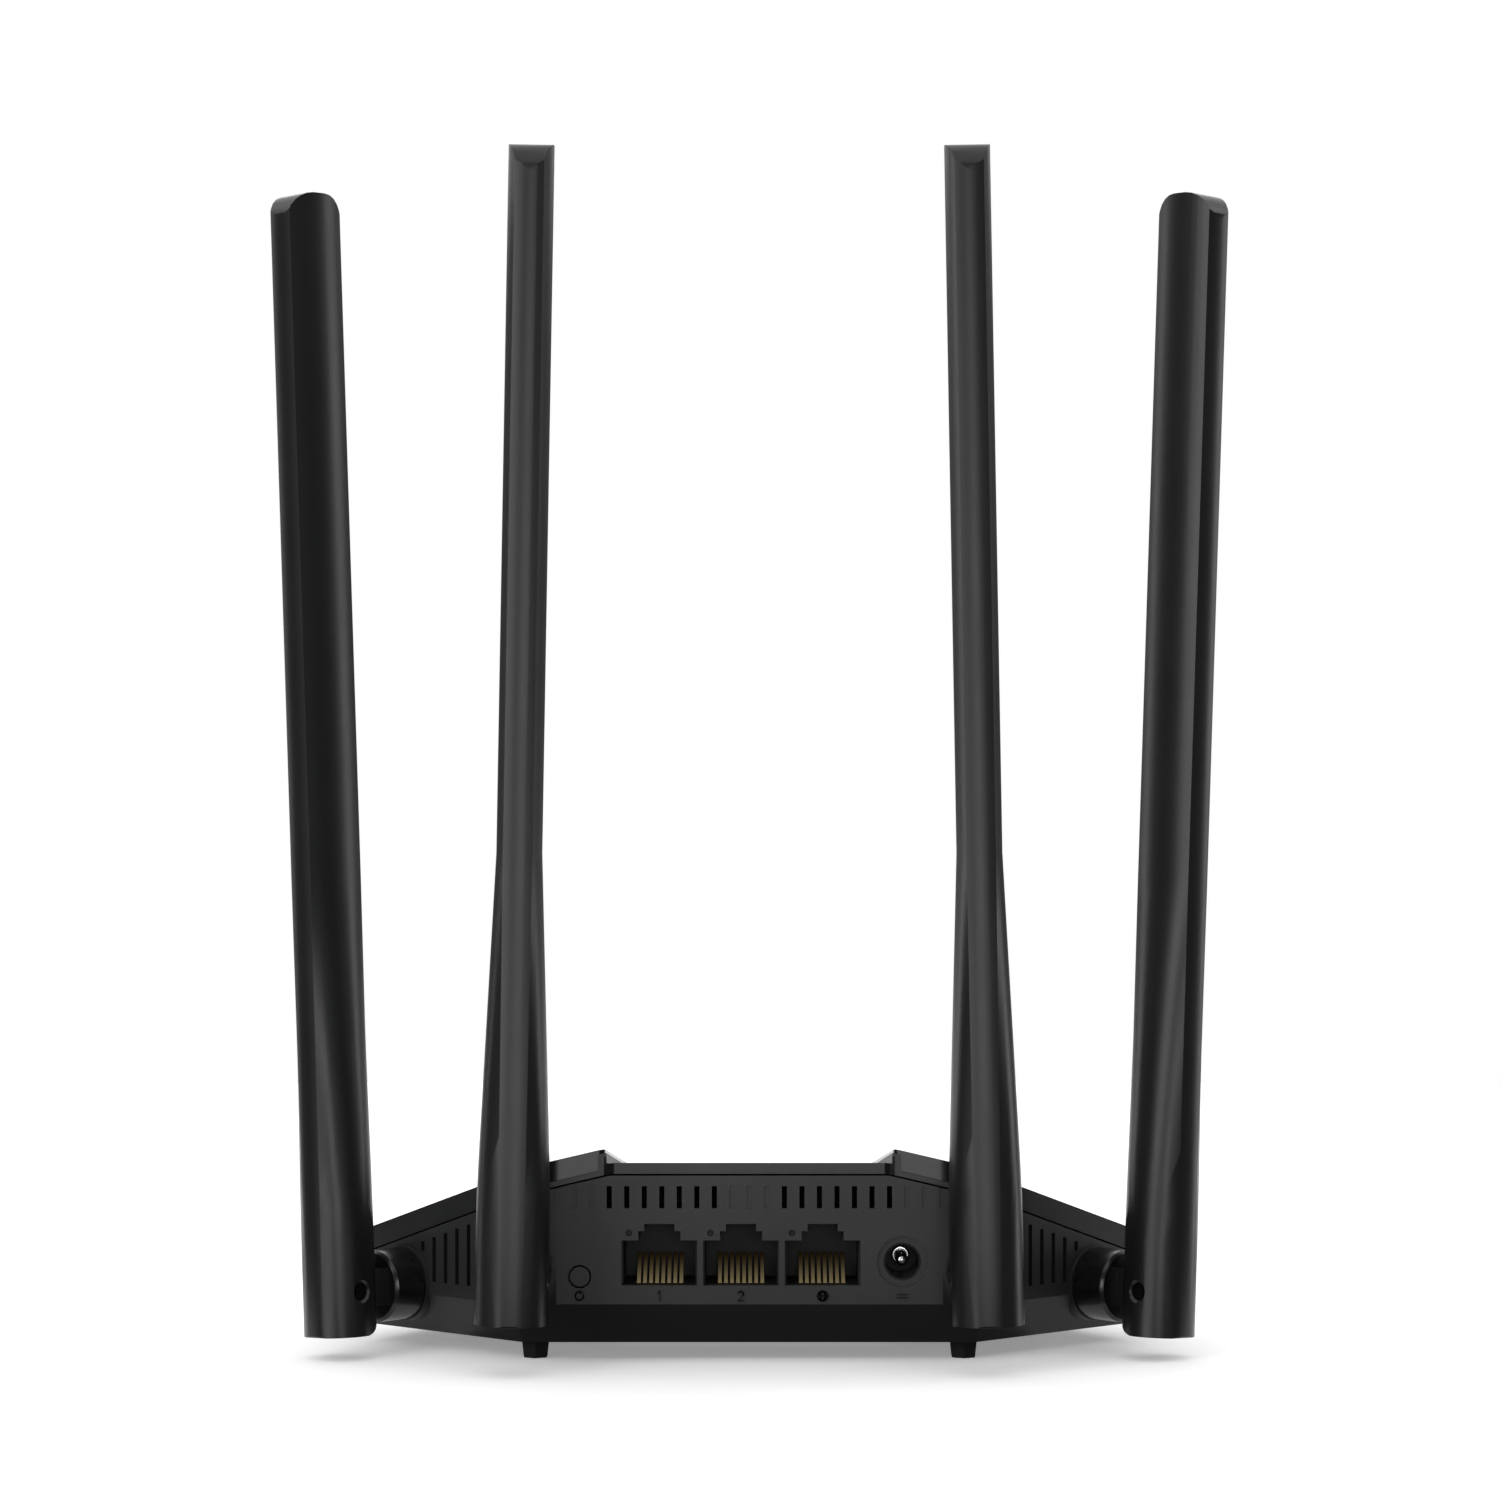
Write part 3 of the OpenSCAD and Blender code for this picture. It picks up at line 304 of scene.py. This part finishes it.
# dark and light tint, roughness, size of the grain in millimetres and its depth
finishes = {
    "housing_plastic": mouldedPlastic("sparkTexturedAbs", "#191a1b", "#262728", 0.5, 0.22, 0.4),
    "floor_plastic": mouldedPlastic("sparkTexturedAbsFloor", "#111112", "#1b1b1c", 0.5, 0.22, 0.4),
    "cover_plastic": mouldedPlastic("satinAbsCover", "#141516", "#1f2021", 0.42, 0.2, 0.3),
    "wing_gloss": glossPlastic("highGlossAbs", "#08080a", "#101012", 0.06),
    "foot_rubber": mouldedPlastic("siliconeRubber", "#0d0d0d", "#1b1b1b", 0.8, 0.3, 0.5, ior=1.43),
    "screw_steel": metalFinish("zincPlatedSteel", "#8e9296", "#c3c7cb", 0.32, 0.3),
    "label_blank": mouldedPlastic("matPolyesterLabel", "#a9abad", "#bfc1c3", 0.45, 0.4, 0.1),
    "board_laminate": solderMask("solderMaskLaminate"),
    "chip_epoxy": mouldedPlastic("mouldedEpoxy", "#141416", "#242427", 0.48, 0.18, 0.4),
    "spreader_aluminium": metalFinish("extrudedAluminium", "#8f9296", "#c0c3c6", 0.34, 0.4,
                                      (1.0, 0.05, 1.0)),
    "shield_tinplate": metalFinish("brightTinplate", "#9b9ea1", "#cfd2d4", 0.22, 0.9),
    "transformer_epoxy": mouldedPlastic("transformerEpoxy", "#101012", "#1e1e20", 0.4, 0.25, 0.3),
    "inductor_ferrite": mouldedPlastic("pressedFerrite", "#26262a", "#3c3c40", 0.62, 0.15, 0.7),
    "capacitor_sleeve": glossPlastic("heatShrinkSleeve", "#1d2748", "#33406c", 0.22),
    "led_body": glossPlastic("whiteLedPackage", "#cfd8cc", "#eef4ea", 0.3),
    "light_pipe_acrylic": acrylicFinish("clearAcrylic"),
    "jack_plastic": mouldedPlastic("mouldedPbt", "#090a0b", "#151617", 0.55, 0.25, 0.25, ior=1.4),
    "contact_gold": goldWithPaintedShade("goldOverNickel", contactFoot, contactTop),
    "lamp_lens": mouldedPlastic("smokedLampLens", "#060707", "#0d0e0d", 0.5, 0.4, 0.1, ior=1.35),
    # painted shade: darker than the jacks' plastic, so the inside of the inlet looks shaded
    "inlet_plastic": mouldedPlastic("inletPbtPaintedShade", "#050506", "#0d0d0e", 0.5, 0.25, 0.2, ior=1.35),
    "inlet_nickel": metalFinish("brightNickel", "#b4b6b8", "#e4e6e8", 0.14, 0.6,
                                (1.0, 0.1, 1.0), 0.05),
    "button_plastic": mouldedPlastic("buttonAbs", "#191a1b", "#262728", 0.5, 0.22, 0.4),
    "switch_plastic": mouldedPlastic("switchNylon", "#18181a", "#29292c", 0.5, 0.3, 0.3),
    "plunger_plastic": mouldedPlastic("plungerNylon", "#a9a9ab", "#c9c9cb", 0.5, 0.3, 0.2),
    "swivel_plastic": mouldedPlastic("polishedPcAbs", "#0e0f10", "#1a1b1c", 0.24, 0.3, 0.12),
    "antenna_plastic": mouldedPlastic("satinPcAbs", "#0f1011", "#191a1c", 0.36, 0.26, 0.22),
    "hinge_pin_steel": metalFinish("blackenedSteel", "#2a2a2c", "#454548", 0.35, 0.2),
    "radiator_copper": metalFinish("rolledCopper", "#8f4f2a", "#c77b4a", 0.3, 0.6, (1.0, 1.0, 0.08)),
    "lead_jacket": mouldedPlastic("fepJacket", "#2c2d30", "#46474a", 0.34, 0.5, 0.1),
}
slotOf = {part["node"]: part["material_slot"] for part in frame["record"]["subparts"]}
for nodeName, node in frame["nodes"].items():
    node.data.materials.clear()
    node.data.materials.append(finishes[slotOf[nodeName]])
tableTints = ("#f6f6f6", "#fafafa")
tableWeave = 60.0
floorFinish, floorTree, floorPlace = newFinish("paleTable")
weave = addNode(floorTree, "ShaderNodeTexNoise", {"Scale": tableWeave}, {"Vector": floorPlace})
paper = colourBetween(floorTree, weave.outputs[0], *tableTints)
closeFinish(floorTree,
            {"Roughness": 0.9, "Specular IOR Level": 0.1, "Emission Strength": studio["floorGlow"]},
            {"Base Color": paper, "Emission Color": paper})
floor.data.materials.append(floorFinish)
for name, (card, glow) in cards.items():
    cardFinish, cardTree, cardPlace = newFinish(name)
    cardWeave = addNode(cardTree, "ShaderNodeTexNoise", {"Scale": tableWeave}, {"Vector": cardPlace})
    closeFinish(cardTree, {"Emission Strength": glow, "Specular IOR Level": 0.0},
                {"Emission Color": colourBetween(cardTree, cardWeave.outputs[0], *tableTints)})
    card.data.materials.append(cardFinish)
print("finishes ready:", len(finishes))

# moulded copies of the CAD's pieces, with rounded edges


def bodyOf(nodeName):
    for bodyName, members in frame["record"]["behaviour"]["bodies"].items():
        if nodeName in members:
            return bodyName
    return "root"


cleaning = {"weld": 0.002 * mm, "flat": 0.6}


def softCopy(nodeName, pieceName, radius, sharp=30, segments=2, weightOf=None, smooth=32):
    source = frame["nodes"][nodeName]
    piece = bpy.data.objects.new(pieceName, source.data.copy())
    bpy.context.scene.collection.objects.link(piece)
    makeActive(piece)
    bpy.ops.object.mode_set(mode="EDIT")
    bpy.ops.mesh.select_all(action="SELECT")
    bpy.ops.mesh.remove_doubles(threshold=cleaning["weld"])
    bpy.ops.mesh.customdata_custom_splitnormals_clear()
    bpy.ops.mesh.dissolve_limited(angle_limit=math.radians(cleaning["flat"]))
    bpy.ops.object.mode_set(mode="OBJECT")
    mesh = piece.data
    weights = mesh.attributes.new("bevel_weight_edge", "FLOAT", "EDGE")
    normals = {}
    for face in mesh.polygons:
        for key in face.edge_keys:
            normals.setdefault(key, []).append(face.normal.copy())
    for edge in mesh.edges:
        pair = normals.get(tuple(sorted(edge.vertices)), [])
        if len(pair) != 2:
            continue
        turn = math.degrees(pair[0].angle(pair[1], 0))
        if turn < sharp:
            continue
        start, end = (mesh.vertices[v].co for v in edge.vertices)
        middle = (start + end) / 2
        weights.data[edge.index].value = weightOf(middle, turn) if weightOf else 1.0
    applyModifier(piece, "BEVEL", "softEdges", {
        "width": radius * mm,
        "segments": segments,
        "limit_method": "WEIGHT",
        "use_clamp_overlap": True,
        "harden_normals": False,
        "miter_outer": "MITER_SHARP",
    })
    makeActive(piece)
    bpy.ops.object.shade_smooth_by_angle(angle=math.radians(smooth))
    applyModifier(piece, "WEIGHTED_NORMAL", "flatFaces", {"keep_sharp": True, "weight": 100})
    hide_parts(nodeName)
    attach(piece, bodyOf(nodeName))


# solid turned about an axis along Y, from (y, radius) points that start and end on the axis
def spinTurned(pieceName, profile, centre, steps, nodeName, smooth):
    deselect()
    bpy.ops.mesh.primitive_plane_add(size=mm, location=(centre.x + profile[0][1], profile[0][0], centre.z))
    piece = bpy.context.object
    piece.name = pieceName
    bpy.ops.object.transform_apply(location=True, rotation=True, scale=True)
    bpy.ops.object.mode_set(mode="EDIT")
    bpy.ops.mesh.select_all(action="SELECT")
    bpy.ops.mesh.merge(type="CENTER")
    for (lastY, lastRadius), (y, radius) in zip(profile, profile[1:]):
        step = (radius - lastRadius, y - lastY, 0)
        bpy.ops.mesh.extrude_region_move(TRANSFORM_OT_translate={"value": step})
    bpy.ops.mesh.select_all(action="SELECT")
    bpy.ops.mesh.spin(steps=steps, angle=2 * math.pi, center=(centre.x, 0, centre.z), axis=(0, 1, 0))
    bpy.ops.mesh.select_all(action="SELECT")
    bpy.ops.mesh.remove_doubles(threshold=cleaning["weld"])
    bpy.ops.mesh.normals_make_consistent(inside=False)
    bpy.ops.object.mode_set(mode="OBJECT")
    piece.data.materials.append(finishes[slotOf[nodeName]])
    bpy.ops.object.shade_smooth_by_angle(angle=math.radians(smooth))
    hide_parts(nodeName)
    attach(piece, bodyOf(nodeName))


caseSoft = {
    "bottom_case": ("lowerCase", 0.35),
    "main_housing": ("rearHousing", 0.14),
    "top_cover": ("upperCover", 0.25),
    "wing_panel_left": ("glossWingLeft", 0.3),
    "wing_panel_right": ("glossWingRight", 0.3),
    "foot_rear_left": ("footRearLeft", 0.2),
    "foot_rear_right": ("footRearRight", 0.2),
    "foot_front_left": ("footFrontLeft", 0.2),
    "foot_front_right": ("footFrontRight", 0.2),
    "reset_button": ("resetButton", 0.15),
    "lan_port_1": ("jackOne", 0.12),
    "lan_port_2": ("jackTwo", 0.12),
    "wan_port": ("jackThree", 0.12),
    "power_inlet_spring": ("inletSpring", 0.08),
}
for nodeName, (pieceName, radius) in caseSoft.items():
    softCopy(nodeName, pieceName, radius)
    print("soft copy:", pieceName)

blade = {
    "edge": 0.9,
    "sharp": 18,
    "segments": 3,
    "smooth": 25,
    "foot": 1.5 * mm,  # the rim at the bottom is rounded in full
    "most": 0.5,  # the other edges by their angle, up to this share
    "from": 15,
    "per": 90,
}
swivelEdge = 0.25


def bladeWeight(middle, turn):
    if middle.z < bladeFoot + blade["foot"]:
        return 1.0
    return min(blade["most"], (turn - blade["from"]) / blade["per"])


for side in ("outer_left", "inner_left", "inner_right", "outer_right"):
    words = side.split("_")
    stem = words[0] + words[1].capitalize()
    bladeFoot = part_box(side + "_antenna")[0][2]
    softCopy(side + "_antenna", stem + "Antenna", blade["edge"], sharp=blade["sharp"],
             segments=blade["segments"], smooth=blade["smooth"], weightOf=bladeWeight)
    softCopy(side + "_swivel", stem + "Swivel", swivelEdge)
    print("soft copy:", stem)

# a turned pin with a domed nose, standing on the bright eyelet of its socket
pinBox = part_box("power_inlet_pin")
pinAt = Vector([(pinBox[0][i] + pinBox[1][i]) / 2 for i in range(3)])
pin = {
    "radius": (pinBox[1][0] - pinBox[0][0]) / 2,
    "nose": 0.9 * mm,
    "eyelet": 1.6 * mm,
    "eyeletDepth": 0.5 * mm,
    "groove": (0.12 * mm, 0.1 * mm),  # between pin and eyelet: depth, width
    "rim": (0.12 * mm, 0.15 * mm),  # worn corner of the eyelet: depth, width
    "steps": 40,
    "noseSteps": 6,
    "smooth": 40,
}
noseTurns = [math.pi / 2 * i / pin["noseSteps"] for i in range(pin["noseSteps"] + 1)]
pinProfile = [(pinBox[0][1] + pin["nose"] * (1 - math.cos(turn)), pin["radius"] * math.sin(turn))
              for turn in noseTurns]
eyeletFront = pinBox[1][1] - pin["eyeletDepth"]
pinProfile += [
    (eyeletFront + pin["groove"][0], pin["radius"]),
    (eyeletFront, pin["radius"] + pin["groove"][1]),
    (eyeletFront, pin["eyelet"] - pin["rim"][1]),
    (eyeletFront + pin["rim"][0], pin["eyelet"]),
    (pinBox[1][1], pin["eyelet"]),
    (pinBox[1][1], 0),
]
spinTurned("inletPin", pinProfile, pinAt, pin["steps"], "power_inlet_pin", pin["smooth"])

# printed signs under the button and the sockets: plain symbols and the sockets' numbers
signs = {
    "height": 1.6 * mm,
    "above": 1.45 * mm,  # from the crease of the case up to their middle
    "stroke": 0.24 * mm,
    "film": 0.012 * mm,
}


def arcPoints(centreX, centreZ, radius, first, last, steps=20):
    turns = [math.radians(first + (last - first) * i / steps) for i in range(steps + 1)]
    return [(centreX + radius * math.cos(turn), centreZ + radius * math.sin(turn)) for turn in turns]


# strokes are drawn in units of half the sign's height, around its middle
signStrokes = {
    "reset_button": [arcPoints(0, 0, 0.85, 60, 380), [(0.15, 1.05), (0.47, 0.72), (0.12, 0.38)]],
    "lan_port_1": [[(-0.3, 0.6), (0.05, 1.0), (0.05, -1.0)]],
    "lan_port_2": [arcPoints(0, 0.45, 0.5, 170, -35, 14) + [(-0.5, -1.0), (0.55, -1.0)]],
    "wan_port": [arcPoints(0, 0, 1.0, 0, 360, 28), [(-1, 0), (1, 0)], [(0, 1), (0, -1)],
                 [(0.5 * x, z) for x, z in arcPoints(0, 0, 1.0, 0, 360, 28)]],
    "power_inlet": [[(-1.1, 0.3), (1.1, 0.3)], [(-1.1, -0.35), (-0.55, -0.35)],
                    [(-0.28, -0.35), (0.28, -0.35)], [(0.55, -0.35), (1.1, -0.35)]],
}


def inkStroke(mesh, points, width, y, film):
    for (x0, z0), (x1, z1) in zip(points, points[1:]):
        along = Vector((x1 - x0, z1 - z0))
        if along.length == 0:
            continue
        side = Vector((-along.y, along.x)).normalized() * width / 2
        ends = along.normalized() * width / 2
        corners = [
            (x0 - ends.x + side.x, z0 - ends.y + side.y),
            (x0 - ends.x - side.x, z0 - ends.y - side.y),
            (x1 + ends.x - side.x, z1 + ends.y - side.y),
            (x1 + ends.x + side.x, z1 + ends.y + side.y),
        ]
        front = [mesh.verts.new((x, y - film, z)) for x, z in corners]
        back = [mesh.verts.new((x, y + film, z)) for x, z in corners]
        mesh.faces.new(front)
        mesh.faces.new(back[::-1])
        for i in range(4):
            mesh.faces.new((front[i], back[i], back[(i + 1) % 4], front[(i + 1) % 4]))


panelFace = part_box("main_housing")[0][1]
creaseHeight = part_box("main_housing")[0][2]
ink = bmesh.new()
for nodeName, strokes in signStrokes.items():
    low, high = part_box(nodeName)
    middle = (low[0] + high[0]) / 2
    half = signs["height"] / 2
    for points in strokes:
        placed = [(middle + x * half, creaseHeight + signs["above"] + z * half) for x, z in points]
        inkStroke(ink, placed, signs["stroke"], panelFace, signs["film"])
bmesh.ops.recalc_face_normals(ink, faces=ink.faces)
signMesh = bpy.data.meshes.new("panelSigns")
ink.to_mesh(signMesh)
ink.free()
signMesh.materials.append(mouldedPlastic("printedInk", "#0c0c0d", "#131314", 0.6, 0.15, 0.1, ior=1.36))
panelSigns = bpy.data.objects.new("panelSigns", signMesh)
bpy.context.scene.collection.objects.link(panelSigns)
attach(panelSigns, "case")
print("signs ready")
